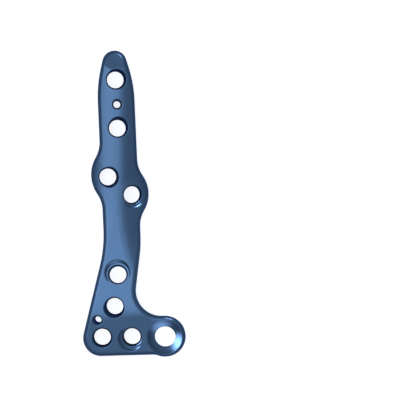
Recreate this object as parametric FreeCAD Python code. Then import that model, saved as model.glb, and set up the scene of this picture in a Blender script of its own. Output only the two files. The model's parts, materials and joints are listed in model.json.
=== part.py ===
import FreeCAD, Part
import math
import os

from FreeCAD import Vector

# Orthopedic bone plate, lying on its bone side. Millimetres, +Z up.
# +Y runs along the shaft to the tapered tip, and the foot points to +X.
# The origin is the middle of the plate's box, at the level it lies on.

# Body: arched along the shaft, with a flat crest that widens towards the foot
# until the whole body is flat. The foot bends down.
THICKNESS = 2.0
ARCH_RADIUS = 14.0
CREST_X = -4.2
CREST_HALF_WIDTH = 0.3
WIDEN_FROM_Y = 0.7
WIDEN_TO_Y = -20.8
WIDEN_LEFT = 6.5
WIDEN_RIGHT = 5.0
FOOT_BEND_ANGLE = 8.0
FOOT_BEND_RADIUS = 14.0
FOOT_BEND_X = -2.2
FOOT_BEND_Y = -25.65
FOOT_BEND_SKEW_ANGLE = 5.0
TIP_RAMP_ANGLE = 12.0
TIP_RAMP_Y = 31.1
RIM_ROUND = 0.95
UNDER_EDGE_BREAK = 0.2

# Roll about the shaft that lays both wings and the heel on the floor
REST_ROLL_ANGLE = -3.32

# Points where the straight edges of the outline would meet, clockwise
TIP = (-5.205, 43.789)
RIGHT_SHOULDER = (-0.143, 28.185)
RIGHT_WAIST = (1.512, -9.744)
INSTEP = (-0.318, -26.002)
SOLE = (4.450, -35.102)
HEEL = (-13.078, -35.606)
LEFT_WAIST = (-6.954, -10.252)
LEFT_SHOULDER = (-8.643, 27.409)

# Outline radii, and how far each wing stands out beyond the shaft's edge
TIP_RADIUS = 2.83
SHOULDER_RADIUS = 30.0
WAIST_RADIUS = 29.5
HEEL_RADIUS = 4.14
INSTEP_RADIUS = 5.9
SOLE_RADIUS = 3.0
BOSS_RADIUS = 4.79
WING_RADIUS = 7.75
WING_BLEND_RADIUS = 7.13
WING_ABOVE_HOLE = 0.3
RIGHT_WING_REACH = 2.25
LEFT_WING_REACH = 2.36

# Locking holes: a straight lower wall, a conical seat and a broken edge
LOCK_RADIUS = 2.04
LOCK_SEAT_RADIUS = 2.2
LOCK_WALL = 1.1
LOCK_EDGE_BREAK = 0.15

# Tilted recesses round the mouths of some locking holes
RECESS_RADIUS = 2.75
RECESS_WALL_ANGLE = 45.0

# Guide wire holes
WIRE_RADIUS = 0.81
WIRE_EDGE_BREAK = 0.35

# Large screw hole with its ball seat, in the round boss
SCREW_RADIUS = 2.42
DISH_BALL_RADIUS = 6.0
DISH_RIM_RADIUS = 4.15
DISH_LIP_ROUND = 0.5
BOSS_X = 7.16
BOSS_Y = -30.80

# Hole axes: place at the bone side, lean from vertical and the way it leans
LOCK_HOLES = {
    "tip": (-4.53, 28.72, 9.8, 27.4),
    "shaft": (-4.03, 17.49, 9.6, 30.9),
    "left_wing": (-6.20, 6.27, 4.7, 338.1),
    "right_wing": (-0.84, 2.19, 17.3, 347.3),
    "body_upper": (-3.75, -16.61, 6.3, 84.1),
    "body_lower": (-4.40, -23.65, 9.5, 251.6),
    "heel": (-7.41, -30.81, 9.7, 274.0),
    "foot": (-0.45, -30.63, 12.0, 266.0),
}
WIRE_HOLES = {
    "shaft_wire": (-4.12, 23.02, 5.9, 21.2),
    "heel_wire": (-8.21, -26.70, 12.2, 242.1),
}

# Recesses: depth in the middle, lean of the floor's normal and the way it leans
RECESSES = {
    "right_wing": (0.1, 17.3, 347.3),
    "body_upper": (0.2, 7.0, 98.0),
    "foot": (0.03, 17.6, 248.7),
}

# Half sizes of the stock that the plate is cut from, and how far round each
# side of the arch it goes
STOCK_X = 16.0
STOCK_Y = 40.0
STOCK_Z = 12.0
STOCK_ARC_ANGLE = 53.0

# Points closer than the gap are one point, and a face whose normal rises less
# than UPRIGHT is an upright wall
JOIN_GAP = 0.001
UPRIGHT = 0.01


def slope(angle):
    return math.tan(math.radians(angle))


def circle_drop(radius, across):
    """How far a circle falls away at a distance beside its top."""
    return radius - math.sqrt(radius ** 2 - across ** 2)


def beyond_crest(x, y):
    """How far a point lies outside the flat crest."""
    part = min(max((WIDEN_FROM_Y - y) / (WIDEN_FROM_Y - WIDEN_TO_Y), 0.0), 1.0)
    right = x - CREST_X - CREST_HALF_WIDTH - WIDEN_RIGHT * part ** 2
    left = CREST_X - CREST_HALF_WIDTH - WIDEN_LEFT * part ** 2 - x
    return max(left, right, 0.0)


def bend_run():
    """Length on each side of the bend line that the bend's arc takes up."""
    return FOOT_BEND_RADIUS * slope(FOOT_BEND_ANGLE / 2.0)


def bend_drop(x, y):
    skew = math.radians(FOOT_BEND_SKEW_ANGLE)
    past = (x - FOOT_BEND_X) * math.sin(skew) - (y - FOOT_BEND_Y) * math.cos(skew)
    into = past + bend_run()
    if into <= 0.0:
        return 0.0
    if into < FOOT_BEND_RADIUS * math.sin(math.radians(FOOT_BEND_ANGLE)):
        return circle_drop(FOOT_BEND_RADIUS, into)
    return past * slope(FOOT_BEND_ANGLE)


def outer_height(x, y):
    """Height of the outer face, which is level with 0 at the crest."""
    arch = circle_drop(ARCH_RADIUS, beyond_crest(x, y)) if y > WIDEN_TO_Y else 0.0
    return -arch - bend_drop(x, y)


def solid_under(edges, run):
    """Solid swept from a closed loop of edges."""
    return Part.Face(Part.Wire(Part.__sortEdges__(edges))).extrude(run)


def polyline(points):
    return [Part.makeLine(start, end) for start, end in zip(points, points[1:])]


def shaft_stock():
    """Solid under the shaft: a flat crest between two equal arcs."""
    half = math.radians(STOCK_ARC_ANGLE / 2.0)
    edges = []
    feet = []
    for side in (-1, 1):
        crest_x = CREST_X + side * CREST_HALF_WIDTH
        points = []
        for angle in (0.0, half, 2.0 * half):
            across = ARCH_RADIUS * math.sin(angle)
            points.append(Vector(crest_x + side * across, WIDEN_FROM_Y, -circle_drop(ARCH_RADIUS, across)))
        edges.append(Part.Arc(*points).toShape())
        feet.append((points[0], points[2]))
    deep = Vector(0, 0, -STOCK_Z)
    (left_top, left_foot), (right_top, right_foot) = feet
    edges += polyline([left_top, right_top])
    edges += polyline([left_foot, left_foot + deep, right_foot + deep, right_foot])
    return solid_under(edges, Vector(0, STOCK_Y, 0))


def widening_edge(side, widen):
    """Control points of the edge of the crest where it widens."""
    x = CREST_X + side * CREST_HALF_WIDTH
    middle_y = (WIDEN_FROM_Y + WIDEN_TO_Y) / 2.0
    return [Vector(x, WIDEN_FROM_Y, 0), Vector(x, middle_y, 0), Vector(x + side * widen, WIDEN_TO_Y, 0)]


def flank_stock(side, widen):
    """Solid under the arch on one side of the widening crest."""
    angle = math.radians(STOCK_ARC_ANGLE)
    across = ARCH_RADIUS * math.sin(angle)
    corner = Vector(side * ARCH_RADIUS * math.tan(angle / 2.0), 0, 0)
    foot = Vector(side * across, 0, -circle_drop(ARCH_RADIUS, across))
    crest = widening_edge(side, widen)
    poles = [crest, [point + corner for point in crest], [point + foot for point in crest]]
    weights = [[1.0] * 3, [math.cos(angle / 2.0)] * 3, [1.0] * 3]
    ends = [0.0, 1.0]
    surface = Part.BSplineSurface()
    surface.buildFromPolesMultsKnots(poles, [3, 3], [3, 3], ends, ends, False, False, 2, 2, weights)
    return surface.toShape().extrude(Vector(0, 0, -STOCK_Z))


def crest_stock():
    """Solid under the widening crest."""
    edges = []
    ends = []
    for side, widen in ((-1, WIDEN_LEFT), (1, WIDEN_RIGHT)):
        curve = Part.BezierCurve()
        points = widening_edge(side, widen)
        curve.setPoles(points)
        edges.append(curve.toShape())
        ends.append((points[0], points[2]))
    (left_start, left_end), (right_start, right_end) = ends
    edges += polyline([left_start, right_start])
    edges += polyline([left_end, right_end])
    return solid_under(edges, Vector(0, 0, -STOCK_Z))


def foot_stock():
    """Solid under the flat body and the foot, bent about a slightly skewed line."""
    angle = math.radians(FOOT_BEND_ANGLE)
    run = bend_run()
    middle = FOOT_BEND_RADIUS * math.sin(angle / 2.0)
    bend_start = Vector(0, run, 0)
    bend_middle = Vector(0, run - middle, -circle_drop(FOOT_BEND_RADIUS, middle))
    bend_end = Vector(0, -run * math.cos(angle), -run * math.sin(angle))
    body_end = Vector(0, STOCK_Y, 0)
    foot_end = Vector(0, -STOCK_Y, -STOCK_Y * math.tan(angle))
    deep = Vector(0, 0, -STOCK_Z)
    edges = [Part.Arc(bend_start, bend_middle, bend_end).toShape()]
    edges += polyline([bend_end, foot_end, foot_end + deep, body_end + deep, body_end, bend_start])
    stock = solid_under(edges, Vector(4.0 * STOCK_X, 0, 0))
    stock.translate(Vector(-2.0 * STOCK_X, 0, 0))
    stock.rotate(Vector(0, 0, 0), Vector(0, 0, 1), FOOT_BEND_SKEW_ANGLE)
    stock.translate(Vector(FOOT_BEND_X, FOOT_BEND_Y, 0))
    corner = Vector(-STOCK_X, WIDEN_TO_Y - STOCK_Y, -3.0 * STOCK_Z)
    return stock.common(Part.makeBox(2.0 * STOCK_X, STOCK_Y, 4.0 * STOCK_Z, corner))


def flat_point(point):
    return Vector(point[0], point[1], 0)


def corner_arc(before, corner, after, radius):
    """Arc that rounds a corner of the outline: its start, middle and end."""
    into = (corner - before).normalize()
    out = (after - corner).normalize()
    turn = into.getAngle(out)
    run = radius * math.tan(turn / 2.0)
    to_centre = (out - into).normalize()
    middle = corner + to_centre * (radius / math.cos(turn / 2.0) - radius)
    return corner - into * run, middle, corner + out * run


def blend_ends(line, disc, blend, side):
    """Where an arc of radius blend, outside the plate, touches a straight edge
    and a disc. Side is -1 before the disc and 1 after it, going clockwise."""
    start, end = line
    centre, radius = disc
    along = (end - start).normalize()
    outward = Vector(-along.y, along.x, 0)
    offset = (centre - start).dot(outward)
    run = math.sqrt((radius + blend) ** 2 - (offset - blend) ** 2)
    on_line = centre - outward * offset + along * (side * run)
    middle = on_line + outward * blend
    on_disc = centre + (middle - centre) * (radius / (radius + blend))
    return on_line, middle, on_disc


def arc_about(centre, start, end):
    """Short arc from start to end: its start, middle and end."""
    radius = (start - centre).Length
    toward = (start + end) * 0.5 - centre
    return start, centre + toward.normalize() * radius, end


def disc_arcs(line_before, line_after, disc, blends, long_way):
    """A disc that stands out of the plate, with its blends before and after."""
    line_end, first_middle, disc_start = blend_ends(line_before, disc, blends[0], -1)
    line_start, last_middle, disc_end = blend_ends(line_after, disc, blends[1], 1)
    centre, radius = disc
    top = arc_about(centre, disc_start, disc_end)[1]
    if long_way:
        top = centre * 2.0 - top
    return [
        arc_about(first_middle, line_end, disc_start),
        (disc_start, top, disc_end),
        arc_about(last_middle, disc_end, line_start),
    ]


def wing_arcs(line, hole, reach):
    """A round wing beside a locking hole, on a straight edge of the shaft."""
    start, end = line
    along = (end - start).normalize()
    outward = Vector(-along.y, along.x, 0)
    wing_y = LOCK_HOLES[hole][1] + WING_ABOVE_HOLE
    beside = start + along * ((wing_y - start.y) / along.y)
    disc = (beside - outward * (WING_RADIUS - reach), WING_RADIUS)
    return disc_arcs(line, line, disc, (WING_BLEND_RADIUS, WING_BLEND_RADIUS), False)


def outline_arcs():
    """Every arc of the outline, clockwise from the tip."""
    tip, right_shoulder, right_waist, instep = map(flat_point, (TIP, RIGHT_SHOULDER, RIGHT_WAIST, INSTEP))
    sole, heel, left_waist, left_shoulder = map(flat_point, (SOLE, HEEL, LEFT_WAIST, LEFT_SHOULDER))
    boss = (Vector(BOSS_X, BOSS_Y, 0), BOSS_RADIUS)
    boss_blends = (INSTEP_RADIUS, SOLE_RADIUS)
    arcs = [corner_arc(left_shoulder, tip, right_shoulder, TIP_RADIUS)]
    arcs.append(corner_arc(tip, right_shoulder, right_waist, SHOULDER_RADIUS))
    arcs.extend(wing_arcs((right_shoulder, right_waist), "right_wing", RIGHT_WING_REACH))
    arcs.append(corner_arc(right_shoulder, right_waist, instep, WAIST_RADIUS))
    arcs.extend(disc_arcs((right_waist, instep), (sole, heel), boss, boss_blends, True))
    arcs.append(corner_arc(sole, heel, left_waist, HEEL_RADIUS))
    arcs.append(corner_arc(heel, left_waist, left_shoulder, WAIST_RADIUS))
    arcs.extend(wing_arcs((left_waist, left_shoulder), "left_wing", LEFT_WING_REACH))
    arcs.append(corner_arc(left_waist, left_shoulder, tip, SHOULDER_RADIUS))
    return arcs


def outline_column(height):
    """The outline as an upright column, taller than the plate."""
    arcs = outline_arcs()
    edges = []
    for i, (start, middle, end) in enumerate(arcs):
        last_end = arcs[i - 1][2]
        if last_end.distanceToPoint(start) > JOIN_GAP:
            edges.append(Part.makeLine(last_end, start))
        edges.append(Part.Arc(start, middle, end).toShape())
    face = Part.Face(Part.Wire(Part.__sortEdges__(edges)))
    face.translate(Vector(0, 0, -STOCK_Z))
    return face.extrude(Vector(0, 0, height))


def is_wall(face):
    u_low, u_high, v_low, v_high = face.ParameterRange
    return abs(face.normalAt((u_low + u_high) / 2.0, (v_low + v_high) / 2.0).z) < UPRIGHT


def rim_edges(blank, faces):
    """Edges that the faces share with the upright walls of the outline."""
    wall_edges = [edge for face in blank.Faces if is_wall(face) for edge in face.Edges]
    cap_edges = [edge for face in faces for edge in face.Edges]
    return [edge for edge in cap_edges if any(edge.isSame(wall) for wall in wall_edges)]


def caps(blank, outer):
    """Faces of the outer side of the plate, or of the bone side."""
    found = []
    for face in blank.Faces:
        centre = face.CenterOfMass
        above = centre.z > outer_height(centre.x, centre.y) - THICKNESS / 2.0
        if above == outer and not is_wall(face):
            found.append(face)
    return found


def arched_blank():
    """The outline between the outer face and the bone side, its edges finished."""
    flanks = [flank_stock(-1, WIDEN_LEFT), flank_stock(1, WIDEN_RIGHT)]
    below_outer = shaft_stock().fuse(flanks + [crest_stock(), foot_stock()])
    below_inner = below_outer.copy()
    below_inner.translate(Vector(0, 0, -THICKNESS))
    blank = outline_column(2.0 * STOCK_Z).common(below_outer).cut(below_inner)
    blank = blank.makeFillet(RIM_ROUND, rim_edges(blank, caps(blank, True)))
    return blank.makeChamfer(UNDER_EDGE_BREAK, rim_edges(blank, caps(blank, False)))


def ramped_blank():
    """The same outline under the flat ramp of the tip, its rim rounded."""
    corner = Vector(-STOCK_X, -2.0 * STOCK_Y, 0)
    above_ramp = Part.makeBox(2.0 * STOCK_X, 3.0 * STOCK_Y, 3.0 * STOCK_Z, corner)
    above_ramp.rotate(Vector(0, 0, 0), Vector(1, 0, 0), -TIP_RAMP_ANGLE)
    above_ramp.translate(Vector(0, TIP_RAMP_Y, 0))
    blank = outline_column(3.0 * STOCK_Z).cut(above_ramp)
    flat_faces = [face for face in blank.Faces if not is_wall(face)]
    ramp = max(flat_faces, key=lambda face: face.CenterOfMass.z)
    return blank.makeFillet(RIM_ROUND, rim_edges(blank, [ramp]))


def placed(cutter, origin, lean, azimuth):
    """Lean a cutter's axis and move its origin to a point."""
    cutter.rotate(Vector(0, 0, 0), Vector(0, 1, 0), lean)
    cutter.rotate(Vector(0, 0, 0), Vector(0, 0, 1), azimuth)
    cutter.translate(origin)
    return cutter


def bone_side(x, y):
    return Vector(x, y, outer_height(x, y) - THICKNESS)


def hole_mouth(x, y, lean, azimuth):
    """Where the axis of a hole comes out of the outer face."""
    reach = THICKNESS * math.sin(math.radians(lean))
    top_x = x + reach * math.cos(math.radians(azimuth))
    top_y = y + reach * math.sin(math.radians(azimuth))
    return Vector(top_x, top_y, outer_height(top_x, top_y))


def turned(points, bends=()):
    """Solid turned about the Z axis from (radius, height) points. Bends are pairs
    of a point's number and the middle of the arc that starts there."""
    middles = dict(bends)
    corners = [Vector(x, 0, z) for x, z in points]
    edges = []
    for i, start in enumerate(corners):
        end = corners[(i + 1) % len(corners)]
        if i in middles:
            x, z = middles[i]
            edges.append(Part.Arc(start, Vector(x, 0, z), end).toShape())
        else:
            edges.append(Part.makeLine(start, end))
    return Part.Face(Part.Wire(edges)).revolve(Vector(0, 0, 0), Vector(0, 0, 1), 360)


def locking_cutter():
    seat_top = THICKNESS - LOCK_EDGE_BREAK
    mouth = LOCK_SEAT_RADIUS + 2.0 * LOCK_EDGE_BREAK
    return turned([
        (0.0, -THICKNESS),
        (LOCK_RADIUS, -THICKNESS),
        (LOCK_RADIUS, LOCK_WALL),
        (LOCK_SEAT_RADIUS, seat_top),
        (mouth, seat_top + 2.0 * LOCK_EDGE_BREAK),
        (mouth, 2.0 * THICKNESS),
        (0.0, 2.0 * THICKNESS),
    ])


def wire_cutter():
    mouth = WIRE_RADIUS + 2.0 * WIRE_EDGE_BREAK
    return turned([
        (0.0, -THICKNESS),
        (WIRE_RADIUS, -THICKNESS),
        (WIRE_RADIUS, THICKNESS - WIRE_EDGE_BREAK),
        (mouth, THICKNESS + WIRE_EDGE_BREAK),
        (mouth, 2.0 * THICKNESS),
        (0.0, 2.0 * THICKNESS),
    ])


def recess_cutter(depth):
    """Flat floor with a sloping wall round it, its origin above the floor."""
    top = THICKNESS
    wall_top = RECESS_RADIUS + (top + depth) / slope(RECESS_WALL_ANGLE)
    return turned([(0.0, -depth), (RECESS_RADIUS, -depth), (wall_top, top), (0.0, top)])


def dish_cutter():
    """Through hole, ball seat and a lip that rounds over to the outer face."""
    ball_height = THICKNESS + math.sqrt(DISH_BALL_RADIUS ** 2 - DISH_RIM_RADIUS ** 2)
    lip_height = THICKNESS - DISH_LIP_ROUND
    low_angle = math.asin(SCREW_RADIUS / DISH_BALL_RADIUS)
    high_angle = math.acos((ball_height - lip_height) / (DISH_BALL_RADIUS + DISH_LIP_ROUND))
    lip_x = (DISH_BALL_RADIUS + DISH_LIP_ROUND) * math.sin(high_angle)

    def on_ball(angle):
        return DISH_BALL_RADIUS * math.sin(angle), ball_height - DISH_BALL_RADIUS * math.cos(angle)

    half = high_angle / 2.0
    lip_middle = (lip_x - DISH_LIP_ROUND * math.sin(half), lip_height + DISH_LIP_ROUND * math.cos(half))
    points = [
        (0.0, -THICKNESS),
        (SCREW_RADIUS, -THICKNESS),
        on_ball(low_angle),
        on_ball(high_angle),
        (lip_x, THICKNESS),
        (lip_x, 2.0 * THICKNESS),
        (0.0, 2.0 * THICKNESS),
    ]
    return turned(points, [(2, on_ball((low_angle + high_angle) / 2.0)), (3, lip_middle)])


def cutters():
    made = []
    for x, y, lean, azimuth in LOCK_HOLES.values():
        made.append(placed(locking_cutter(), bone_side(x, y), lean, azimuth))
    for name, (depth, lean, azimuth) in RECESSES.items():
        made.append(placed(recess_cutter(depth), hole_mouth(*LOCK_HOLES[name]), lean, azimuth))
    for x, y, lean, azimuth in WIRE_HOLES.values():
        made.append(placed(wire_cutter(), bone_side(x, y), lean, azimuth))
    boss = bone_side(BOSS_X, BOSS_Y)
    made.append(placed(dish_cutter(), boss, FOOT_BEND_ANGLE, FOOT_BEND_SKEW_ANGLE - 90.0))
    return made


def main():
    os.makedirs("parts", exist_ok=True)
    plate = arched_blank().common(ramped_blank())
    for cutter in cutters():
        plate = plate.cut(cutter)
    plate = plate.Solids[0]
    plate.rotate(Vector(0, 0, 0), Vector(0, 1, 0), REST_ROLL_ANGLE)
    box = plate.optimalBoundingBox()
    plate.translate(Vector(-box.Center.x, -box.Center.y, -box.ZMin))
    plate.exportStep("parts/bone_plate.step")


main()
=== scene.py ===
import json
import math

import bpy
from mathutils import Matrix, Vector


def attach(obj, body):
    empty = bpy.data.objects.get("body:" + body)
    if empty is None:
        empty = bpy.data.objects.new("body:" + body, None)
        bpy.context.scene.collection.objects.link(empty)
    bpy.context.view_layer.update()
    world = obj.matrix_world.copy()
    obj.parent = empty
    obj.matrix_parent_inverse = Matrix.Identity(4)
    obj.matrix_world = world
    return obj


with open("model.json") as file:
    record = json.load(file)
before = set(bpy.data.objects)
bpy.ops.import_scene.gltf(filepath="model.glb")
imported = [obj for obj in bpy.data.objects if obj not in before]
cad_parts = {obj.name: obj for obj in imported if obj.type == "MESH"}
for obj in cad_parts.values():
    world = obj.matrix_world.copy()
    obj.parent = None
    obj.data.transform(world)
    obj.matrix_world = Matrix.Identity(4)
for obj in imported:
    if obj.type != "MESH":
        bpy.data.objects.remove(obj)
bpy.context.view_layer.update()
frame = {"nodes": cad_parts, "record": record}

MM = 0.001
PLATE = frame["nodes"]["bone_plate"]
MOUNTS = {mount["name"]: mount for mount in frame["record"]["mounts"]}

# Camera straight above: width across the picture at the plate's face, point in the
# middle of the picture, heights of the face and of the camera, how far it sees,
# and the sensor's width in millimetres
VIEW_WIDTH = 93.02 * MM
VIEW_MIDDLE = (15.254 * MM, 0.847 * MM)
FACE_HEIGHT = 2.8 * MM
CAMERA_HEIGHT = 1.6
CAMERA_REACH = 20.0
SENSOR = 36.0

# Linear colours of the oxide: on the plate, in the threads, where a darker copy is
# painted shade of the holes, and at a grazing angle
BLUE = (0.124, 0.247, 0.478)
THREAD_SHADE_BLUE = (0.07, 0.13, 0.25)
GRAZING_BLUE = (0.2, 0.3, 0.5)
PLATE_ROUGHNESS = 0.29
THREAD_ROUGHNESS = 0.4

# Radius over which edges look rounded, and the rays that find them
EDGE_SOFTNESS = 0.45 * MM
EDGE_SAMPLES = 16

# Painted shade, as levels that the oxide's colour is multiplied by: over the place
# along the plate on Y, over the upright part of the rounded normal (steep faces
# darker), and over how well the rounded normal agrees with the true one (edges
# darker). Where the last two darken, blue stays a little stronger.
ALONG_PLATE_SHADE_LEVELS = (
    (-26.6 * MM, 0.88),
    (-22.5 * MM, 1.0),
    (-14.0 * MM, 1.0),
    (-4.5 * MM, 0.93),
    (2.0 * MM, 0.855),
)
STEEP_SHADE_LEVELS = ((0.3, 0.2), (0.7, 0.38), (0.84, 0.62), (0.95, 1.0))
NEAR_EDGE_SHADE_LEVELS = ((0.75, 0.3), (0.93, 0.6), (0.99, 1.0))
SHADE_EXTRA_BLUE = 0.02

# Fine grain of the blasted face
GRAIN_SCALE = 9000.0
GRAIN_DETAIL = 3.0
GRAIN_STRENGTH = 0.04
GRAIN_HEIGHT = 0.02 * MM

# Threads: heights above the bone side, pitch, depth of the ridge, how far it is
# rooted in the wall, share of the depth that is left at its ends, turns over which
# it fades, steps a turn, and how much the seat above the wall widens as it rises
THREAD_BOTTOM = 0.4 * MM
THREAD_TOP = 1.4 * MM
THREAD_PITCH = 0.35 * MM
THREAD_DEPTH = 0.12 * MM
THREAD_ROOT = 0.02 * MM
THREAD_END = 0.1
THREAD_FADE = 0.5
THREAD_STEPS = 48
SEAT_SLOPE = 0.21

# Section of the ridge: share of the depth, and height in pitches
THREAD_SECTION = ((0.0, -0.45), (1.0, -0.1), (1.0, 0.1), (0.0, 0.45))

# Floor and surroundings
FLOOR_SIZE = 6.0
FLOOR_DROP = 0.1 * MM
FLOOR_WHITE = 0.8
FLOOR_GLOW = 0.8
SURROUNDINGS = 0.3

# Key softbox, aimed at the origin, in metres and degrees: azimuth, elevation,
# distance, size and brightness
KEY = (168.0, 72.0, 1.0, (0.6, 0.57), 0.955)

# Small gridded lamps close to the plate, one for each highlight of the photo, in
# millimetres and degrees: mount, aim beside the mount, azimuth, elevation,
# distance, size, brightness and spread
SMALL_LAMPS = {
    "boss_kick": ("boss_screw", (3.4, -1.3, 0.9), 169.5, 18.0, 7.5, (12.4, 3.6), 1.95, 75.0),
    "dish_fill": ("boss_screw", (-0.3, 3.4, 0.8), 282.0, 15.0, 4.6, (10.0, 3.2), 0.62, 85.0),
    "boss_line": ("boss_screw", (1.1, 4.2, 1.5), 80.0, 48.0, 6.0, (3.6, 2.4), 0.28, 40.0),
    "tip_line": ("lock_tip", (0.8, 6.3, 0.9), 72.0, 48.0, 6.0, (3.0, 2.0), 0.24, 45.0),
    "recess_fill": ("lock_body_upper", (-0.4, 3.2, 0.8), 280.0, 18.0, 4.0, (9.0, 2.6), 0.24, 85.0),
    "wing_kick": ("lock_right_wing", (1.6, -2.7, 1.0), 114.0, 24.0, 6.0, (4.4, 4.2), 2.9, 45.0),
    "foot_kick": ("lock_foot", (2.3, -1.7, 0.6), 160.0, 22.0, 5.0, (4.0, 3.4), 1.45, 45.0),
}


# Materials
def new_material(name):
    """New material with its nodes, its links and its shader."""
    material = bpy.data.materials.new(name)
    material.use_nodes = True
    nodes = material.node_tree.nodes
    links = material.node_tree.links
    return material, nodes, links, nodes["Principled BSDF"]


def level_ramp(nodes, links, source, levels, extra_blue=0.0):
    """Colour output that goes through the levels as the source rises."""
    node = nodes.new("ShaderNodeValToRGB")
    elements = node.color_ramp.elements
    elements[0].position = levels[0][0]
    elements[1].position = levels[-1][0]
    for position, _ in levels[1:-1]:
        elements.new(position)
    for element, (_, level) in zip(elements, levels):
        element.color = (level, level, min(level + extra_blue, 1.0), 1.0)
    links.new(source, node.inputs["Fac"])
    return node.outputs["Color"]


def painted_shade_along_plate(nodes, links, position):
    """Painted shade along the plate: brightness that changes slowly over Y."""
    first, last = ALONG_PLATE_SHADE_LEVELS[0][0], ALONG_PLATE_SHADE_LEVELS[-1][0]
    parts = nodes.new("ShaderNodeSeparateXYZ")
    links.new(position, parts.inputs["Vector"])
    along = nodes.new("ShaderNodeMapRange")
    along.inputs["From Min"].default_value = first
    along.inputs["From Max"].default_value = last
    links.new(parts.outputs["Y"], along.inputs["Value"])
    levels = [((y - first) / (last - first), level) for y, level in ALONG_PLATE_SHADE_LEVELS]
    return level_ramp(nodes, links, along.outputs["Result"], levels)


def painted_shade_where_steep(nodes, links, normal):
    """Painted shade: level that falls as the surface turns away from facing straight up or down.
    """
    parts = nodes.new("ShaderNodeSeparateXYZ")
    links.new(normal, parts.inputs["Vector"])
    upright = nodes.new("ShaderNodeMath")
    upright.operation = "ABSOLUTE"
    links.new(parts.outputs["Z"], upright.inputs[0])
    return level_ramp(nodes, links, upright.outputs[0], STEEP_SHADE_LEVELS, SHADE_EXTRA_BLUE)


def painted_shade_near_edge(nodes, links, normal):
    """Painted shade near edges: level that falls where the rounded normal leaves the true one."""
    geometry = nodes.new("ShaderNodeNewGeometry")
    agreement = nodes.new("ShaderNodeVectorMath")
    agreement.operation = "DOT_PRODUCT"
    links.new(normal, agreement.inputs[0])
    links.new(geometry.outputs["Normal"], agreement.inputs[1])
    return level_ramp(nodes, links, agreement.outputs["Value"], NEAR_EDGE_SHADE_LEVELS, SHADE_EXTRA_BLUE)


def anodised_titanium(name, base_color, roughness):
    """Blue oxide on a finely blasted face, with painted shade along the plate, on steep faces and
    near edges.
    """
    material, nodes, links, shader = new_material(name)
    shader.inputs["Metallic"].default_value = 1.0
    shader.inputs["Specular Tint"].default_value = (*GRAZING_BLUE, 1.0)
    shader.inputs["Roughness"].default_value = roughness
    position = nodes.new("ShaderNodeTexCoord").outputs["Object"]
    rounded = nodes.new("ShaderNodeBevel")
    rounded.samples = EDGE_SAMPLES
    rounded.inputs["Radius"].default_value = EDGE_SOFTNESS
    normal = rounded.outputs["Normal"]

    # Painted shade: three levels multiplied into the oxide's colour
    levels = (
        painted_shade_along_plate(nodes, links, position),
        painted_shade_where_steep(nodes, links, normal),
        painted_shade_near_edge(nodes, links, normal),
    )
    tints = []
    for level in levels:
        tint = nodes.new("ShaderNodeMix")
        tint.data_type = "RGBA"
        tint.blend_type = "MULTIPLY"
        tint.inputs["Factor"].default_value = 1.0
        links.new(level, tint.inputs["B"])
        tints.append(tint)
    tints[0].inputs["A"].default_value = (*base_color, 1.0)
    for tint, following in zip(tints, tints[1:]):
        links.new(tint.outputs["Result"], following.inputs["A"])
    links.new(tints[-1].outputs["Result"], shader.inputs["Base Color"])

    grain = nodes.new("ShaderNodeTexNoise")
    grain.inputs["Scale"].default_value = GRAIN_SCALE
    grain.inputs["Detail"].default_value = GRAIN_DETAIL
    links.new(position, grain.inputs["Vector"])
    bump = nodes.new("ShaderNodeBump")
    bump.inputs["Strength"].default_value = GRAIN_STRENGTH
    bump.inputs["Distance"].default_value = GRAIN_HEIGHT
    links.new(grain.outputs["Fac"], bump.inputs["Height"])
    links.new(normal, bump.inputs["Normal"])
    links.new(bump.outputs["Normal"], shader.inputs["Normal"])
    return material


def white_floor():
    """White paper that stays bright where the camera or a reflection sees it."""
    material, nodes, links, shader = new_material("white_floor")
    shader.inputs["Base Color"].default_value = (FLOOR_WHITE, FLOOR_WHITE, FLOOR_WHITE, 1.0)
    shader.inputs["Roughness"].default_value = 1.0
    shader.inputs["Specular IOR Level"].default_value = 0.0
    light_path = nodes.new("ShaderNodeLightPath")
    seen = light_path.outputs["Is Camera Ray"]
    for kind in ("Is Glossy Ray", "Is Transmission Ray"):
        either = nodes.new("ShaderNodeMath")
        either.operation = "MAXIMUM"
        links.new(seen, either.inputs[0])
        links.new(light_path.outputs[kind], either.inputs[1])
        seen = either.outputs[0]
    level = nodes.new("ShaderNodeMath")
    level.operation = "MULTIPLY"
    level.inputs[1].default_value = FLOOR_GLOW
    links.new(seen, level.inputs[0])
    glow = nodes.new("ShaderNodeEmission")
    links.new(level.outputs[0], glow.inputs["Strength"])
    both = nodes.new("ShaderNodeAddShader")
    links.new(shader.outputs[0], both.inputs[0])
    links.new(glow.outputs[0], both.inputs[1])
    links.new(both.outputs[0], nodes["Material Output"].inputs["Surface"])
    return material


titanium = anodised_titanium("anodised_titanium", BLUE, PLATE_ROUGHNESS)
for material_slot in PLATE.material_slots:
    material_slot.material = titanium
# Darker copy of the oxide for the threads, painted shade of the holes
shaded_thread_titanium = anodised_titanium("shaded_thread_titanium", THREAD_SHADE_BLUE, THREAD_ROUGHNESS)


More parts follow.
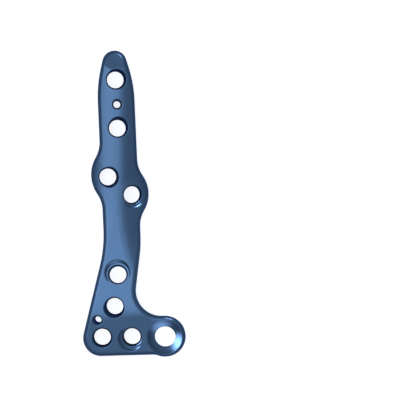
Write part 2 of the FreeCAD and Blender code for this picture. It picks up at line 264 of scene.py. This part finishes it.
# Threads of the locking holes
def thread(mount):
    """Closed helical ridge on the wall of a locking hole, fading at its ends.

    Its back and its two ends lie inside the plate's wall.
    """
    axis = Vector(mount["axis"]).normalized()
    radius = mount["dims"]["r_mm"] * MM
    wall = mount["dims"]["length_mm"] * MM
    base = Vector(mount["pos_m"]) - axis * (wall / 2.0)
    u = axis.orthogonal().normalized()
    v = axis.cross(u)
    turns = (THREAD_TOP - THREAD_BOTTOM) / THREAD_PITCH
    steps = int(turns * THREAD_STEPS)
    points = []
    for i in range(steps + 1):
        part = i / steps
        height = THREAD_BOTTOM + (THREAD_TOP - THREAD_BOTTOM) * part
        root = radius + max(height - wall, 0.0) * SEAT_SLOPE + THREAD_ROOT
        from_end = min(part, 1.0 - part) * turns
        depth = THREAD_DEPTH * min(THREAD_END + from_end / THREAD_FADE, 1.0)
        turn = 2.0 * math.pi * turns * part
        out = u * math.cos(turn) + v * math.sin(turn)
        for share, rise in THREAD_SECTION:
            reach = root - depth * share
            points.append(base + out * reach + axis * (height + rise * THREAD_PITCH))
    corners = len(THREAD_SECTION)
    seen, buried = [], []
    for i in range(steps):
        for k in range(corners):
            low = corners * i + k
            following = corners * i + (k + 1) % corners
            side = buried if k == corners - 1 else seen
            side.append((low, following, following + corners, low + corners))
    buried.append(tuple(reversed(range(corners))))
    buried.append(tuple(range(corners * steps, corners * (steps + 1))))
    mesh = bpy.data.meshes.new("thread_" + mount["name"])
    mesh.from_pydata(points, [], seen + buried)
    # The threads take the darker copy, painted shade of the hole
    mesh.materials.append(shaded_thread_titanium)
    for polygon in mesh.polygons:
        polygon.use_smooth = polygon.index < len(seen)
    piece = bpy.data.objects.new("thread_" + mount["name"], mesh)
    bpy.context.collection.objects.link(piece)
    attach(piece, "root")


for mount in MOUNTS.values():
    if mount["kind"] == "threaded_hole":
        thread(mount)


# Stage
bpy.ops.mesh.primitive_plane_add(size=FLOOR_SIZE, location=(0, 0, -FLOOR_DROP))
floor = bpy.context.object
floor.name = "floor"
floor.data.materials.append(white_floor())

world = bpy.data.worlds.new("studio")
world.use_nodes = True
backdrop = world.node_tree.nodes["Background"]
backdrop.inputs["Color"].default_value = (1.0, 1.0, 1.0, 1.0)
backdrop.inputs["Strength"].default_value = SURROUNDINGS
bpy.context.scene.world = world


# Lights
def softbox(name, target, azimuth, elevation, distance, size, radiance, spread=180.0):
    """Area lamp at an angle round a target, aimed at it, set by its brightness."""
    turn, rise = math.radians(azimuth), math.radians(elevation)
    flat = math.cos(rise)
    away = Vector((math.cos(turn) * flat, math.sin(turn) * flat, math.sin(rise)))
    data = bpy.data.lights.new(name, "AREA")
    data.shape = "RECTANGLE"
    data.size, data.size_y = size
    data.energy = radiance * math.pi * size[0] * size[1]
    data.spread = math.radians(spread)
    lamp = bpy.data.objects.new(name, data)
    lamp.location = Vector(target) + away * distance
    lamp.rotation_euler = (-away).to_track_quat("-Z", "Y").to_euler()
    lamp.visible_camera = False
    bpy.context.collection.objects.link(lamp)


softbox("key", (0, 0, 0), *KEY)
for name, lamp in SMALL_LAMPS.items():
    mount_name, aim, azimuth, elevation, distance, size, radiance, spread = lamp
    target = Vector(MOUNTS[mount_name]["pos_m"]) + Vector(aim) * MM
    size = (size[0] * MM, size[1] * MM)
    softbox(name, target, azimuth, elevation, distance * MM, size, radiance, spread)

# Camera
camera_data = bpy.data.cameras.new("camera")
camera_data.sensor_width = SENSOR
camera_data.lens = SENSOR * (CAMERA_HEIGHT - FACE_HEIGHT) / VIEW_WIDTH
camera_data.clip_end = CAMERA_REACH
camera = bpy.data.objects.new("camera", camera_data)
camera.location = (*VIEW_MIDDLE, CAMERA_HEIGHT)
bpy.context.collection.objects.link(camera)
bpy.context.scene.camera = camera
bpy.context.scene.view_settings.view_transform = "Standard"
